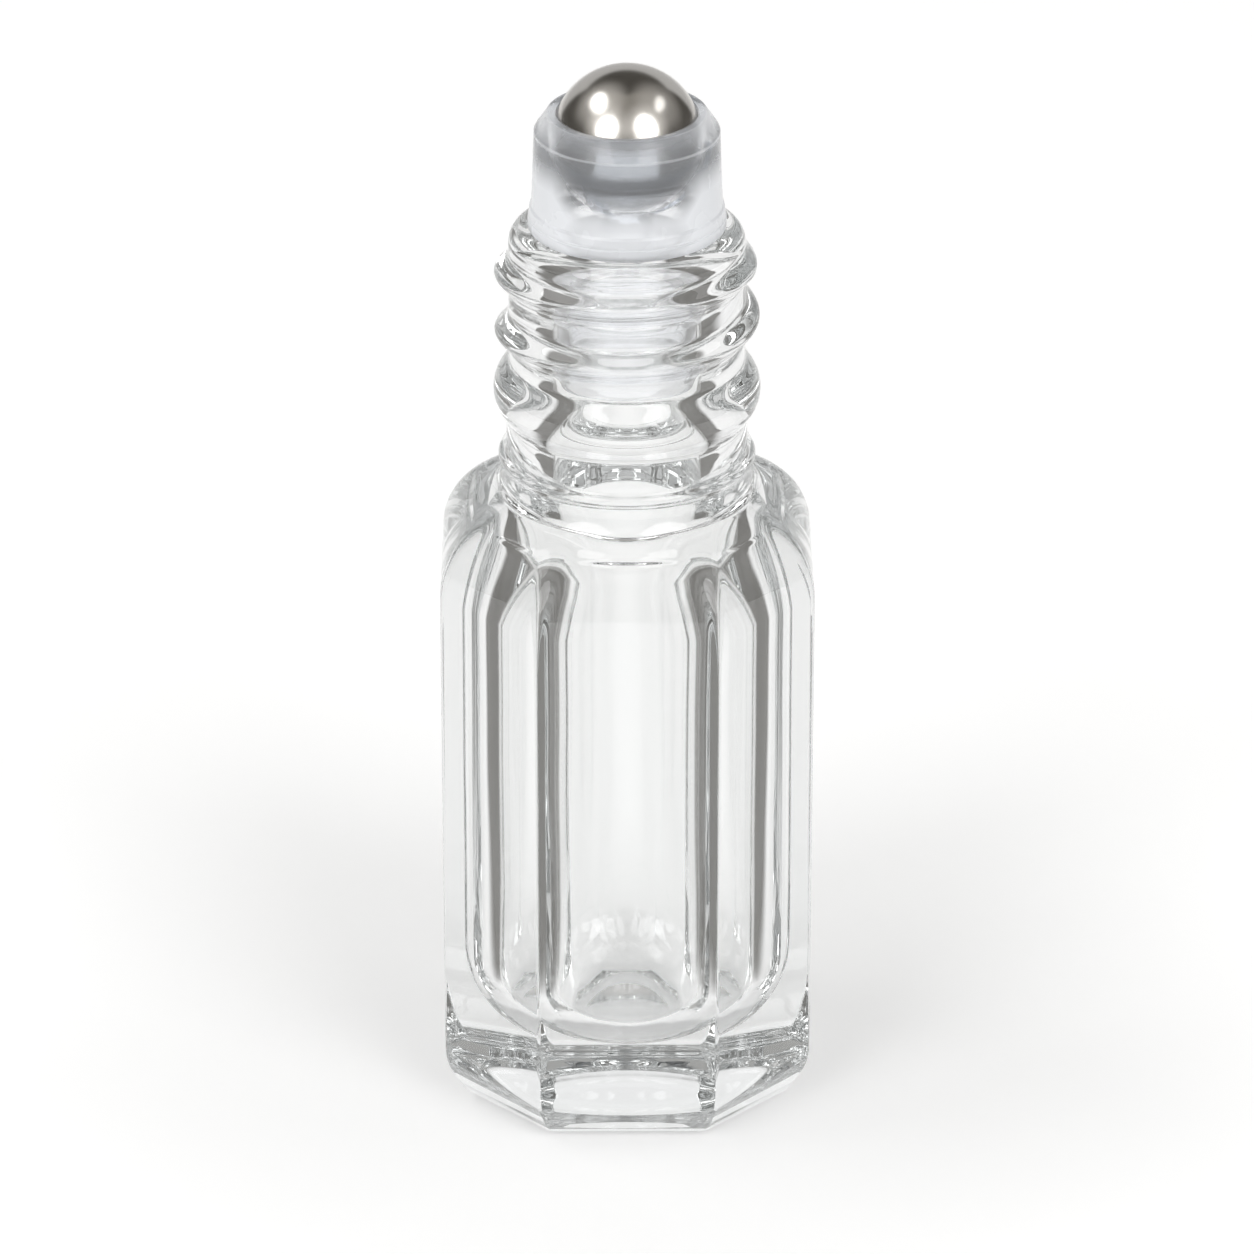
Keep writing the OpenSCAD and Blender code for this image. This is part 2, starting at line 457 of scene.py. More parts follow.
@dataclass(frozen=True)
class PolishedSteel:
    """Polished stainless steel with the fine haze that lapping leaves."""

    colour: Colour = (0.66, 0.635, 0.60)
    dim_share: float = 0.95
    haze_cells: float = 900.0
    haze_range: Span = (0.3, 0.75)
    roughness: Span = (0.17, 0.22)
    lap_cells: float = 5200.0
    lap_stretch: Colour = (1.0, 0.12, 1.0)
    lap_height: float = 1.2e-7

    def material(self) -> bpy.types.Material:
        """Mixes steel.

        Returns:
            The steel material.
        """
        material, g = new_material("polished_steel")
        haze = g.grain(self.haze_cells, 4.0)
        lap = g.grain(self.lap_cells, 3.0, self.lap_stretch)
        shader = g.principled(
            {
                "Base Color": g.mix(haze, tuple(c * self.dim_share for c in self.colour), self.colour),
                "Metallic": 1.0,
                "Roughness": haze.ramp(*self.haze_range, *self.roughness),
                "Normal": g.bump(lap, self.lap_height),
            }
        )
        g.surface(shader)
        return material


@dataclass(frozen=True)
class WhitePaper:
    """White studio paper, which keeps the shadow that falls on it.

    Through glass it is a white strip before and behind the bottle, with dim cloth to both sides, which
    draws the dark edges of clear glass. Lengths are metres.
    """

    colour: float = 0.80
    dim_share: float = 0.995
    tooth_cells: float = 900.0
    roughness: float = 0.9
    specular: float = 0.1
    lift: float = 0.40
    # painted shadow: near the bottle the paper is lifted less than far from it, which paints a soft pool of
    # shadow round the base; near is the reach in metres over which it fades
    painted_shadow_lift: float = 0.29
    near: Span = (0.016, 0.052)
    glass_lift: float = 0.36
    strip_half: float = 0.012
    strip_spread: float = 0.90
    strip_fade: float = 0.012
    cloth: Colour = (0.20, 0.195, 0.185)

    def material(self) -> bpy.types.Material:
        """Mixes paper, strip and cloth.

        Returns:
            The paper material.
        """
        material, g = new_material("white_paper")
        tooth = g.grain(self.tooth_cells, 3.0)
        paper = g.principled(
            {
                "Base Color": g.mix(tooth, (self.colour * self.dim_share,) * 3, (self.colour,) * 3),
                "Roughness": self.roughness,
                "Specular IOR Level": self.specular,
            }
        )
        x, y = (g.part(g.place(), axis) for axis in "XY")
        reach = (x * x + y * y) ** 0.5
        through = g.ray("Transmission")
        # painted shadow: camera rays see the paper lifted less close to the bottle, a soft painted shadow
        # pool round its base
        lift = g.ray("Camera") * reach.ramp(*self.near, self.painted_shadow_lift, self.lift)
        lift = lift + (g.ray("Glossy") | through) * self.glass_lift
        glow = g.node("ShaderNodeEmission", None, {"Color": lift, "Strength": 1.0})
        white = g.node("ShaderNodeAddShader", None, [paper, glow])
        beside = abs(x) - abs(y) * self.strip_spread
        beside = beside.ramp(self.strip_half, self.strip_half + self.strip_fade) * through
        cloth = g.node("ShaderNodeEmission", None, {"Color": (*self.cloth, 1.0), "Strength": 1.0})
        g.surface(g.blend(beside, white, cloth))
        return material


# ---------------------------------------------------------------- outlines and meshes


def smooth_step(value: Radii) -> Radii:
    """Returns a smooth step of a value from 0 to 1."""
    t = np.clip(value, 0.0, 1.0)
    return t * t * (3.0 - 2.0 * t)


def smooth_max(a: Radii, b: Radii, width: float) -> Radii:
    """Joins two radii with a fillet.

    Args:
        a: First radius.
        b: Second radius.
        width: Difference of the two at which the fillet starts.

    Returns:
        The larger radius, eased where the two are close.
    """
    near = np.maximum(width - np.abs(a - b), 0.0) / width
    return np.maximum(a, b) + near * near * width / 4.0


def arc(centre: tuple[float, float], radius: float, start: float, end: float, steps: int) -> Outline:
    """Returns points of a circular arc.

    Args:
        centre: Centre in the outline's plane.
        radius: Radius of the arc.
        start: First angle in degrees.
        end: Last angle in degrees.
        steps: Number of chords.

    Returns:
        The points, steps + 1 of them.
    """
    angles = (math.radians(start + (end - start) * i / steps) for i in range(steps + 1))
    return [(centre[0] + radius * math.cos(a), centre[1] + radius * math.sin(a)) for a in angles]


def eased(corners: Sequence[Corner], closed: bool, steps: int) -> Outline:
    """Rounds the corners of an outline.

    Args:
        corners: Points with the radius that eases each. Radius 0 keeps the corner.
        closed: Whether the last point joins the first.
        steps: Chords of each rounded corner.

    Returns:
        The rounded outline.
    """
    made: Outline = []
    count = len(corners)
    for i, (x, y, radius) in enumerate(corners):
        here = Vector((x, y))
        if radius <= 0 or (not closed and i in (0, count - 1)):
            made.append((x, y))
            continue
        before = Vector(corners[i - 1][:2]) - here
        after = Vector(corners[(i + 1) % count][:2]) - here
        half = before.angle(after) / 2
        reach = min(radius / math.tan(half), LONGEST_EASE * before.length, LONGEST_EASE * after.length)
        middle = here + (before.normalized() + after.normalized()).normalized() * (reach / math.cos(half))
        first = here + before.normalized() * reach - middle
        last = here + after.normalized() * reach - middle
        turn = first.angle_signed(last)
        for k in range(steps + 1):
            a = -turn * k / steps
            along = middle.x + first.x * math.cos(a) - first.y * math.sin(a)
            across = middle.y + first.x * math.sin(a) + first.y * math.cos(a)
            made.append((along, across))
    return made


def refined(outline: Outline, longest: float, closed: bool) -> Outline:
    """Splits the long chords of an outline.

    Args:
        outline: The points.
        longest: Longest chord that is left.
        closed: Whether the last point joins the first.

    Returns:
        The outline with points added on its long chords.
    """
    made: Outline = []
    pairs = list(zip(outline, outline[1:] + outline[:1]))
    for (x, y), (u, v) in pairs if closed else pairs[:-1]:
        parts = max(1, math.ceil(math.hypot(u - x, v - y) / longest))
        made += [(x + (u - x) * k / parts, y + (v - y) * k / parts) for k in range(parts)]
    return made if closed else made + [outline[-1]]


@dataclass
class Loft:
    """A skin over rings that all stand round the axis and have one point at each azimuth."""

    name: str
    azimuths: np.ndarray

    def slope(self, grid: np.ndarray, axis: int, wraps: bool) -> np.ndarray:
        """Returns the direction in which the points of a grid follow each other.

        Args:
            grid: Points by ring and azimuth.
            axis: 0 to follow the rings, 1 to follow the azimuths.
            wraps: Whether the last point is followed by the first.

        Returns:
            One vector for each point. The nearer neighbour counts for more.
        """
        after = np.roll(grid, -1, axis) - grid
        before = grid - np.roll(grid, 1, axis)
        if not wraps:
            after[-1], before[0] = before[-1], after[0]
        ahead = np.linalg.norm(after, axis=2, keepdims=True) + 1e-9
        behind = np.linalg.norm(before, axis=2, keepdims=True) + 1e-9
        return after * (behind / ahead) + before * (ahead / behind)

    def normals(self, grid: np.ndarray, looped: bool) -> np.ndarray:
        """Returns the outward unit normal at each point of a grid.

        Args:
            grid: Points by ring and azimuth.
            looped: Whether the last ring joins the first.

        Returns:
            One normal for each point, in the order of the points.
        """
        out = np.cross(self.slope(grid, 1, True), self.slope(grid, 0, looped)).reshape(-1, 3)
        return out / (np.linalg.norm(out, axis=1, keepdims=True) + 1e-12)

    def build(self, rings: Sequence[Ring], looped: bool) -> bpy.types.Object:
        """Builds the mesh.

        Args:
            rings: Radius and height of each ring, as one number or one for each azimuth.
            looped: Whether the last ring joins the first. If not, both ends close in a point on the axis.

        Returns:
            The new object, smooth shaded, with outward faces.
        """
        count = len(self.azimuths)
        cos, sin = np.cos(self.azimuths), np.sin(self.azimuths)
        body = rings if looped else rings[1:-1]
        layers = []
        for radius, height in body:
            r, z = np.broadcast_to(radius, count), np.broadcast_to(height, count)
            layers.append(np.stack([r * cos, r * sin, z], 1))
        points = np.concatenate(layers)
        normals = self.normals(points.reshape(len(layers), count, 3), looped)
        index = np.arange(len(points)).reshape(len(layers), count)
        upper = np.roll(index, -1, 0) if looped else index[1:]
        lower = index if looped else index[:-1]
        corners = [lower, np.roll(lower, -1, 1), np.roll(upper, -1, 1), upper]
        faces = np.stack(corners, -1).reshape(-1, 4).tolist()
        if not looped:
            first, last = len(points), len(points) + 1
            ends = [[0.0, 0.0, float(rings[end][1])] for end in (0, -1)]
            points = np.concatenate([points, ends])
            normals = np.concatenate([normals, [[0.0, 0.0, -1.0], [0.0, 0.0, 1.0]]])
            faces += [[first, int(b), int(a)] for a, b in zip(index[0], np.roll(index[0], -1))]
            faces += [[last, int(a), int(b)] for a, b in zip(index[-1], np.roll(index[-1], -1))]
        mesh = bpy.data.meshes.new(self.name)
        mesh.from_pydata((points * MM).tolist(), [], faces)
        mesh.polygons.foreach_set("use_smooth", [True] * len(mesh.polygons))
        mesh.validate()
        mesh.normals_split_custom_set_from_vertices(normals.tolist())
        made = bpy.data.objects.new(self.name, mesh)
        bpy.context.scene.collection.objects.link(made)
        LOG.info("%s: %d points, %d faces", self.name, len(mesh.vertices), len(mesh.polygons))
        return made


def even_azimuths(count: int) -> np.ndarray:
    """Returns azimuths at equal steps round the axis."""
    return np.arange(count) * (2.0 * math.pi / count)


# ---------------------------------------------------------------- the bottle's pieces


@dataclass
class GlassBottle:
    """The moulded glass bottle: eight facets, rounded shoulder, threaded neck and round cavity."""

    half_width: float = 10.1
    facet_width: float = 9.8
    top: float = 36.1
    shoulder_radius: float = 5.0
    heel_inset: float = 1.6
    heel_height: float = 2.7
    heel_drop: float = 0.2
    heel_ease: float = 3.6
    heel_end: float = 4.0
    base_run: float = 2.4
    base_tuck: float = 0.15
    base_ease: float = 1.7
    wall: float = 3.6
    floor_height: float = 4.4
    floor_round: float = 3.6
    cavity_drop: float = 3.8
    turn_in_share: float = 0.75
    dish_radius: float = 5.4
    dish_height: float = 0.5
    bore: float = 4.0
    root: float = 6.35
    plain_neck: float = 6.5
    foot: float = 6.75
    foot_sweep: float = 2.2
    lip_z: float = 50.9
    lip_round: float = 0.95
    lip_flat: float = 0.3
    collar: float = 6.95
    collar_round: float = 0.4
    collar_z: float = 37.68
    bead: float = 7.2
    bead_round: float = 1.9
    bead_z: float = 41.55
    thread_height: float = 0.767
    thread_half_width: float = 1.08
    thread_taper: float = 0.45
    thread_lead: float = 3.35
    thread_turns: float = 1.9
    thread_drop: float = 1.04
    thread_lean: float = -0.424
    thread_clock: float = 32.0
    thread_fade: float = 52.0
    thread_tail: float = 60.0
    edge_round: float = 0.34
    shoulder_edge_round: float = 1.9
    edge_soft_drop: float = 7.5
    collar_blend: float = 0.12
    bead_blend: float = 0.5
    neck_blend: float = 0.55
    neck_share: float = 0.6
    facet_turn_in: float = 0.47
    facet_most_in: float = 7.0
    ring_step: float = 0.1
    crowd_from: float = 24.2
    crowd_step: float = 0.2
    crowd_count: int = 26
    front_count: int = 34
    slant_count: int = 22
    heel_chord: float = 0.35
    inside_chord: float = 0.7
    ripple_height: float = 0.035
    ripple_cells: Span = (1.3, 0.13)
    ripple_drop: float = 14.0
    ripple_fade: Span = (6.0, 3.0)

    def azimuths(self) -> np.ndarray:
        """Places the points of a ring, crowded where the facets meet.

        Returns:
            The azimuths in radians.
        """
        near_edge = self.crowd_from + self.crowd_step * np.arange(self.crowd_count)
        crowd_to = self.crowd_from + self.crowd_step * self.crowd_count
        front = np.linspace(-self.crowd_from, self.crowd_from, self.front_count)[:-1]
        slant = np.linspace(crowd_to, 90.0 - crowd_to, self.slant_count)[:-1]
        quarter = np.concatenate([front, near_edge, slant, 90.0 - near_edge[:0:-1]])
        return np.radians(np.concatenate([quarter + 90.0 * k for k in range(4)]))

    def octagon(self, inset: float, rounding: float, azimuths: np.ndarray) -> np.ndarray:
        """Returns the radius of the rounded octagon that the facets make.

        Args:
            inset: Distance of each facet inside its place on the straight body.
            rounding: Radius of the eight edges.
            azimuths: Azimuths at which the radius is wanted.

        Returns:
            One radius for each azimuth.
        """
        corner = (self.half_width + self.facet_width / 2) / math.sqrt(2)
        quarter = np.mod(azimuths, math.pi / 2)
        folded = np.where(quarter > math.pi / 4, math.pi / 2 - quarter, quarter)
        flat, slant = self.half_width - inset, corner - inset
        sharp = np.minimum(flat / np.cos(folded), slant / np.cos(math.pi / 4 - folded))
        cx = flat - rounding
        cy = math.sqrt(2) * (slant - rounding) - cx
        along = cx * np.cos(folded) + cy * np.sin(folded)
        across = cx * np.sin(folded) - cy * np.cos(folded)
        curved = along + np.sqrt(np.maximum(rounding**2 - across**2, 0.0))
        x, y = curved * np.cos(folded) - cx, curved * np.sin(folded) - cy
        on_arc = (np.abs(across) < rounding) & (y >= 0) & (x >= y)
        return np.where(on_arc, curved, sharp)

    def neck_radius(self, z: float) -> float:
        """Works out the neck without its thread: swept foot, collar ring, bead and root.

        Args:
            z: Height.

        Returns:
            The radius. Below the sweep it falls away inside the body, where the facets take over.
        """
        sweep_x = self.foot + self.foot_sweep
        arm = self.shoulder_radius + self.foot_sweep
        centre_x = self.half_width - self.shoulder_radius
        sweep_z = self.top - self.shoulder_radius + math.sqrt(arm**2 - (sweep_x - centre_x) ** 2)
        if z < sweep_z:
            fall = min(self.foot_sweep, sweep_z - z)
            radius = sweep_x - math.sqrt(self.foot_sweep**2 - fall**2)
            return radius - 2.0 * max(0.0, sweep_z - z - 0.9 * self.foot_sweep)
        past_collar = smooth_step((z - self.collar_z) / self.collar_round)
        past_bead = smooth_step((z - self.bead_z) / self.bead_round)
        base = self.foot + (self.plain_neck - self.foot) * past_collar
        base = base + (self.root - self.plain_neck) * past_bead
        ring = self.collar_round**2 - (z - self.collar_z) ** 2
        if ring > 0:
            collar = self.collar - self.collar_round + math.sqrt(ring)
            base = smooth_max(base, collar, self.collar_blend)
        if abs(z - self.bead_z) < self.bead_round + 0.2:
            bulge = max(self.bead_round**2 - (z - self.bead_z) ** 2, 0.0)
            bead = self.bead - self.bead_round + math.sqrt(bulge)
            base = smooth_max(base, bead, self.bead_blend)
        return float(base)

    def thread(self, z: float, azimuths: np.ndarray) -> np.ndarray:
        """Returns how far the thread stands out of the neck at a height.

        Args:
            z: Height.
            azimuths: Azimuths at which the height of the thread is wanted.

        Returns:
            One height for each azimuth.
        """
        out = np.zeros_like(azimuths)
        first_turn = np.mod(self.thread_clock - np.degrees(azimuths), 360.0) / 360.0
        for turn in (first_turn + k for k in range(math.ceil(self.thread_turns))):
            tail = smooth_step((self.thread_turns - turn) * 360.0 / self.thread_tail)
            rise = smooth_step(turn * 360.0 / self.thread_fade) * tail
            middle = self.lip_z - self.thread_drop - self.thread_lead * turn
            middle = middle + self.thread_lean * np.cos(azimuths)
            width = self.thread_half_width * (self.thread_taper + (1.0 - self.thread_taper) * rise)
            share = np.clip((z - middle) / width, -1.0, 1.0)
            out = np.maximum(out, self.thread_height * rise * np.cos(share * math.pi / 2) ** 2)
        return out

    def side_profile(self) -> Outline:
        """Draws a facet from the side, from the base's edge to the top of the shoulder.

        Returns:
            The inset and height of each ring.
        """
        heel_end, spring = self.heel_height + self.heel_end, self.top - self.shoulder_radius
        corners = [
            (self.heel_inset + self.base_run, 0.0, 0.0),
            (self.heel_inset - self.base_tuck, 0.0, self.base_ease),
            (0.0, self.heel_height - self.heel_drop, self.heel_ease),
            (0.0, heel_end, 0.0),
        ]
        heel = refined(eased(corners, False, 10), self.heel_chord, False)
        straight = [(0.0, z) for z in np.linspace(heel_end, spring, 26)[1:]]
        shoulder = arc((self.shoulder_radius, spring), self.shoulder_radius, 180, 108, 54)[1:]
        return heel + straight + shoulder

    def outside(self, azimuths: np.ndarray) -> list[Ring]:
        """Draws the outside: dish, base, facets, shoulder, neck with its thread, and lip.

        Args:
            azimuths: Azimuths of the points of each ring.

        Returns:
            The rings, from the base's middle to the lip.
        """
        rings: list[Ring] = [(0.0, self.dish_height)]
        sag = (self.dish_radius**2 + self.dish_height**2) / (2 * self.dish_height)
        for r in np.linspace(0.4, self.dish_radius, 24):
            rings.append((r, self.dish_height - sag + math.sqrt(sag**2 - r**2)))
        profile = self.side_profile()
        edge = self.octagon(profile[0][0], self.edge_round, azimuths)
        for share in np.linspace(0.15, 0.85, 6):
            rings.append((self.dish_radius + (edge - self.dish_radius) * share, 0.0))
        for inset, z in profile:
            softness = smooth_step((z - self.top + self.edge_soft_drop) / self.edge_soft_drop)
            rounding = self.edge_round + (self.shoulder_edge_round - self.edge_round) * softness
            body = self.octagon(inset, rounding, azimuths)
            if z > self.top - self.neck_share * self.shoulder_radius:
                body = smooth_max(body, self.neck_radius(z), self.neck_blend)
            rings.append((body, z))
        inset, low = profile[-1]
        lip_foot = self.lip_z - self.lip_round
        for z in map(float, np.arange(low + self.ring_step / 2, lip_foot, self.ring_step)):
            inset += self.facet_turn_in
            body = self.octagon(min(inset, self.facet_most_in), self.shoulder_edge_round, azimuths)
            neck = self.neck_radius(z) + self.thread(z, azimuths)
            rings.append((smooth_max(body, neck, self.neck_blend), z))
        for x, z in arc((self.root - self.lip_round, lip_foot), self.lip_round, 0, 90, 12):
            rings.append((x + self.thread(z, azimuths), z))
        return rings

    def inside(self, azimuths: np.ndarray) -> list[Ring]:
        """Draws the inside: eased mouth, bore, cavity with the faint ripple of blown glass, and floor.

        Args:
            azimuths: Azimuths of the points of each ring.

        Returns:
            The rings, from the lip down to the middle of the floor.
        """
        wall = self.half_width - self.wall
        ease = self.lip_round / 2
        turn_in = (wall - self.bore) * self.turn_in_share
        turn_up = (wall - self.bore) * (1.0 - self.turn_in_share)
        foot = self.top - self.cavity_drop
        floor = (wall - self.floor_round, self.floor_height + self.floor_round)
        lip = [self.root - self.lip_round - self.lip_flat, self.bore + ease + self.lip_flat]
        outline = (
            [(x, self.lip_z) for x in lip]
            + arc((self.bore + ease, self.lip_z - ease), ease, 90, 180, 8)
            + arc((self.bore + turn_up, foot + turn_in + turn_up), turn_up, 180, 270, 10)
            + arc((wall - turn_in, foot), turn_in, 90, 0, 20)[1:]
            + arc(floor, self.floor_round, 0, -90, 24)
        )
        rings: list[Ring] = []
        round_cells, high_cells = self.ripple_cells
        for x, z in refined(outline, self.inside_chord, False):
            spots = ((math.cos(a) * round_cells, math.sin(a) * round_cells, z * high_cells) for a in azimuths)
            ripple = np.array([noise.noise(Vector(spot)) for spot in spots])
            depth = smooth_step((self.lip_z - self.ripple_drop - z) / self.ripple_fade[0])
            depth = depth * smooth_step((z - self.floor_height) / self.ripple_fade[1])
            rings.append((x + self.ripple_height * ripple * depth, z))
        for r in np.linspace(wall - self.floor_round, 0.3, 14)[1:]:
            rings.append((float(r), self.floor_height))
        rings.append((0.0, self.floor_height))
        return rings

    def build(self) -> bpy.types.Object:
        """Builds and dresses the bottle.

        Returns:
            The glass object, riding on the bottle's body in place of its CAD node.
        """
        azimuths = self.azimuths()
        rings = self.outside(azimuths) + self.inside(azimuths)
        made = Loft("bottle_glass", azimuths).build(rings, looped=False)
        made.data.materials.append(ClearGlass().material())
        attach(made, "bottle")
        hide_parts("glass_bottle")
        return made


@dataclass
class RollerHousing:
    """The plastic moulding that plugs the neck, sits on the lip and holds the ball."""

    lip_z: float = 50.9
    ball_z: float = 55.85
    seat: float = 4.05
    plug_length: float = 8.4
    plug: float = 3.77
    rib_height: float = 0.2
    rib_width: float = 0.7
    rib_count: int = 3
    plug_bore: float = 3.1
    feed: float = 1.3
    plug_top: float = 50.63
    flange: float = 5.3
    flange_height: float = 1.3
    barrel_foot: float = 5.1
    barrel: float = 4.95
    barrel_rise: float = 0.5
    rim: float = 4.25
    rim_rise: float = 1.5
    channel_width: float = 0.8
    channel_depth: float = 0.3
    channel_ease: float = 0.08
    channel_count: int = 3
    longest_chord: float = 0.45

    def outline(self) -> Outline:
        """Draws the section. Each corner has its radius, its height and the rounding that eases it.

        Returns:
            The closed outline, from the plug's lead-in round the outside, rim and seat to the bore.
        """
        low = self.lip_z - self.plug_length
        pitch = self.plug_length / (self.rib_count + 1)
        corners: list[Corner] = [
            (self.plug_bore, low, 0.08),
            (self.plug - self.rib_height, low, 0.1),
            (self.plug, low + self.rib_width, 0.3),
        ]
        for i in range(1, self.rib_count + 1):
            z = low + pitch * i
            corners += [
                (self.plug, z - self.rib_width / 2, 0.1),
                (self.plug + self.rib_height, z - self.rib_width / 4, 0.12),
                (self.plug + self.rib_height, z + self.rib_width / 4, 0.12),
                (self.plug, z + self.rib_width / 2, 0.1),
            ]
        half = self.lip_z + self.flange_height / 2
        corners += [
            (self.plug, self.lip_z, 0.04),
            (self.flange, self.lip_z, 0.12),
            (self.flange, half - 0.06, 0.1),
            (self.flange - 0.07, half, 0.05),
            (self.flange - 0.05, half + 0.12, 0.1),
            (self.flange - 0.1, self.lip_z + self.flange_height - 0.12, 0.16),
            (self.barrel_foot, self.lip_z + self.flange_height, 0.1),
            (self.barrel, self.ball_z + self.barrel_rise, 0.14),
            (self.rim + 0.02, self.ball_z + self.rim_rise, 0.12),
            (math.sqrt(self.seat**2 - self.rim_rise**2), self.ball_z + self.rim_rise, 0.05),
        ]
        top = math.degrees(math.asin((self.rim_rise - 0.12) / self.seat))
        bottom = -math.degrees(math.acos(self.feed / self.seat))
        bowl = arc((0.0, self.ball_z), self.seat, top, bottom, 40)
        corners += [(x, z, 0.0) for x, z in bowl]
        corners += [(self.feed, self.plug_top, 0.06), (self.plug_bore, self.plug_top, 0.2)]
        return refined(eased(corners, True, 4), self.longest_chord, True)

    def build(self) -> bpy.types.Object:
        """Builds and dresses the housing.

        Returns:
            The housing object, riding on the fitment's body in place of its CAD node.
        """
        azimuths = even_azimuths(240)
        rings: list[Ring] = []
        for x, z in self.outline():
            reach = math.hypot(x, z - self.ball_z)
            in_bowl = abs(reach - self.seat) < 0.02 and z < self.ball_z - 0.2
            groove = np.zeros_like(azimuths)
            for k in range(self.channel_count if in_bowl else 0):
                side = azimuths - 2 * math.pi * k / self.channel_count
                across = np.where(np.cos(side) > 0, np.abs(x * np.sin(side)), 9.0)
                inward = self.channel_width / 2 + self.channel_ease - across
                groove = np.maximum(groove, smooth_step(inward / (2 * self.channel_ease)))
            scale = 1.0 + groove * self.channel_depth / self.seat
            rings.append((x * scale, self.ball_z + (z - self.ball_z) * scale))
        made = Loft("housing_moulding", azimuths).build(rings, looped=True)
        made.data.materials.append(MilkyPlastic().material())
        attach(made, "fitment")
        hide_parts("roller_housing")
        return made


@dataclass
class RollerBall:
    """The polished steel ball."""

    radius: float = 4.0
    middle: float = 55.85

    def build(self) -> bpy.types.Object:
        """Builds and dresses the ball.

        Returns:
            The ball object, riding on the ball's body in place of its CAD node.
        """
        rings = arc((0.0, self.middle), self.radius, -90, 90, 128)
        made = Loft("steel_ball", even_azimuths(256)).build(rings, looped=False)
        made.data.materials.append(PolishedSteel().material())
        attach(made, "ball")
        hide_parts("roller_ball")
        return made


# ---------------------------------------------------------------- studio


def heading(turn: float, elevation: float) -> Vector:
    """Returns a unit vector.

    Args:
        turn: Degrees from the front, -Y, towards +X.
        elevation: Degrees above the floor.

    Returns:
        The vector away from the bottle.
    """
    a, e = math.radians(turn), math.radians(elevation)
    return Vector((math.sin(a) * math.cos(e), -math.cos(a) * math.cos(e), math.sin(e)))


class Lamp(Enum):
    """Soft boxes: turn from the front, elevation, distance, width, height and radiance."""

    LEFT = (-37.0, 31.8, 0.9, 0.54, 0.66, 3.2)
    RIGHT = (35.5, 33.0, 0.9, 0.56, 0.70, 3.2)
    LEFT_HIGH = (-91.5, 53.8, 0.9, 0.58, 0.37, 2.2)
    RIGHT_HIGH = (93.8, 47.9, 0.9, 0.44, 0.20, 1.5)

    def away(self) -> Vector:
        """Returns the unit vector from the bottle to the lamp."""
        return heading(*self.value[:2])

    def share(self) -> float:
        """Returns the lamp's radiance as a share of the main lamp's."""
        return self.value[-1] / Lamp.LEFT.value[-1]

    def build(self, aim: Vector) -> bpy.types.Object:
        """Adds the lamp.

        Args:
            aim: Point that the lamp faces, in metres.

        Returns:
            The lamp object.
        """
        distance, width, height, radiance = self.value[2:]
        away = self.away()
        data = bpy.data.lights.new(f"soft_box_{self.name.lower()}", "AREA")
        data.shape = "ELLIPSE"
        data.size, data.size_y = width, height
        data.energy = radiance * math.pi * width * height * math.pi / 4
        made = bpy.data.objects.new(data.name, data)
        made.location = aim + away * distance
        made.rotation_euler = away.to_track_quat("Z", "Y").to_euler()
        bpy.context.scene.collection.objects.link(made)
        return made


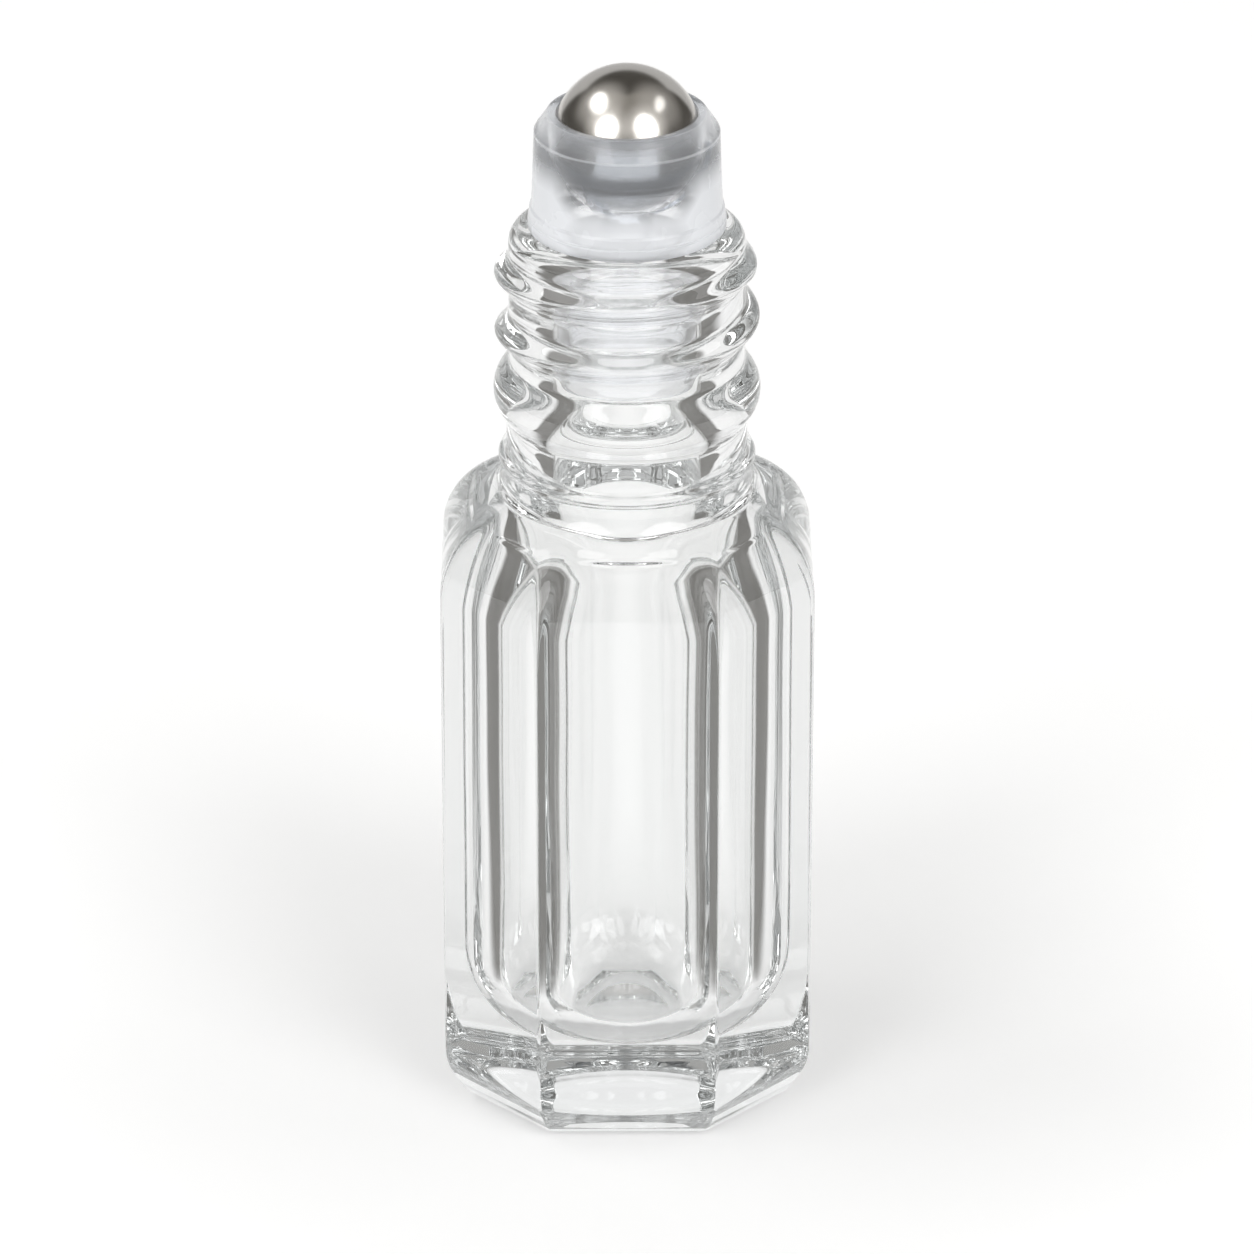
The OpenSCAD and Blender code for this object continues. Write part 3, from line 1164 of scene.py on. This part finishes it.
@dataclass
class Studio:
    """White paper, a dim room with a white backdrop, soft boxes and the camera. Lengths are metres."""

    aim: Vector
    floor_radius: float = 1.6
    floor_sides: int = 64
    floor_drop: float = 2e-5
    room: Colour = (0.085, 0.080, 0.073)
    ceiling: Colour = (0.30, 0.287, 0.265)
    ceiling_rise: Span = (0.62, 0.93)
    ceiling_side: Span = (0.9, 0.2)
    glow: float = 0.60
    glow_colour: Colour = (1.0, 0.985, 0.96)
    glow_span: Span = (0.74, 0.98)
    through_side: Colour = (0.16, 0.155, 0.145)
    through_top: Colour = (0.50, 0.49, 0.475)
    through_rise: Span = (0.60, 0.82)
    through_back: Span = (0.45, 0.85)
    through_fade: Span = (0.55, 0.15)
    mirrored_backdrop: float = 0.60
    backdrop: float = 1.0
    backdrop_half_angle: float = 43.0
    backdrop_top: float = 31.0
    backdrop_side_fade: float = 0.05
    backdrop_top_fade: float = 0.04
    camera_distance: float = 0.39103
    camera_elevation: float = 25.912
    camera_side: float = -0.28
    camera_aim_z: float = 0.027073
    lens: float = 205.2
    bounces: int = 32
    inner_reflections: int = 20

    def floor(self) -> None:
        """Lays a round sheet of white paper under the bottle."""
        mesh = bpy.data.meshes.new("floor")
        azimuths = even_azimuths(self.floor_sides)
        ring = [(self.floor_radius * math.cos(a), self.floor_radius * math.sin(a), 0.0) for a in azimuths]
        mesh.from_pydata(ring, [], [list(range(self.floor_sides))])
        floor = bpy.data.objects.new("floor", mesh)
        floor.location.z = -self.floor_drop
        mesh.materials.append(WhitePaper().material())
        bpy.context.scene.collection.objects.link(floor)

    def room_light(self) -> None:
        """Sets the world, which each kind of ray sees in its own way.

        The camera sees white. Reflections see a dim warm room with a backdrop and the glow round the lamps.
        Rays through glass see a bright wall behind, a dim room to the sides and a half bright ceiling.
        """
        world = bpy.data.worlds.new("room")
        world.use_nodes = True
        bpy.context.scene.world = world
        g = Graph(world.node_tree)
        away = g.node("ShaderNodeTexCoord", output="Generated")
        x, y, z = (g.part(away, axis) for axis in "XYZ")
        white = (self.backdrop,) * 3
        top, side = math.radians(self.backdrop_top), math.radians(self.backdrop_half_angle)
        side_from, side_to = (math.cos(side + f * self.backdrop_side_fade) for f in (1, -1))
        top_from, top_to = (math.sin(top + f * self.backdrop_top_fade) for f in (1, -1))
        back = y / (x * x + y * y + 1e-6) ** 0.5
        low = z.ramp(top_from, top_to)
        halo = 0.0
        for lamp in Lamp:
            along = g.vector("DOT_PRODUCT", away, tuple(lamp.away()), output="Value")
            halo = along.ramp(*self.glow_span) * lamp.share() + halo
        overhead = z.ramp(*self.ceiling_rise) * back.ramp(*self.ceiling_side)
        room = g.mix(overhead, self.room, self.ceiling)
        room = g.mix(halo * self.glow, room, self.glow_colour)
        mirror = g.mix(low * back.ramp(side_from, side_to), room, (self.mirrored_backdrop,) * 3)
        dim = g.mix(z.ramp(*self.through_rise), self.through_side, self.through_top)
        bright = z.ramp(*(math.sin(top + fade) for fade in self.through_fade))
        bent = g.mix(bright * back.ramp(*self.through_back), dim, white)
        soft = g.mix(low, self.through_side, white)
        colour = g.mix(g.ray("Transmission"), g.mix(g.ray("Glossy"), soft, mirror), bent)
        colour = g.mix(g.ray("Camera"), colour, (1.0, 1.0, 1.0))
        g.node("ShaderNodeOutputWorld", None, [g.node("ShaderNodeBackground", None, [colour, 1.0])])

    def camera(self) -> None:
        """Stands the camera where the photograph was taken from."""
        back = heading(self.camera_side, self.camera_elevation)
        data = bpy.data.cameras.new("camera")
        data.lens, data.sensor_width = self.lens, 36.0
        data.clip_start, data.clip_end = 0.01, 10.0
        camera = bpy.data.objects.new("camera", data)
        camera.location = Vector((0.0, 0.0, self.camera_aim_z)) + back * self.camera_distance
        camera.rotation_euler = (-back).to_track_quat("-Z", "Y").to_euler()
        bpy.context.scene.collection.objects.link(camera)
        bpy.context.scene.camera = camera

    def light_paths(self) -> None:
        """Lets light bounce often enough to find its way out of thick glass."""
        cycles = bpy.context.scene.cycles
        cycles.max_bounces = cycles.transmission_bounces = self.bounces
        cycles.glossy_bounces = self.inner_reflections

    def build(self) -> None:
        """Builds the whole studio."""
        self.light_paths()
        self.floor()
        self.room_light()
        for lamp in Lamp:
            lamp.build(self.aim)
        self.camera()
        bpy.context.scene.view_settings.view_transform = "Standard"


def main() -> None:
    """Builds the bottle, its fitment, its ball and the studio."""
    logging.basicConfig(level=logging.INFO, format="%(message)s")
    for piece in (GlassBottle(), RollerHousing(), RollerBall()):
        made = piece.build()
        LOG.info("%s rides in place", made.name)
    Studio(aim=Vector((0.0, 0.0, 0.04))).build()
    bpy.context.view_layer.update()


if __name__ == "__main__":
    main()
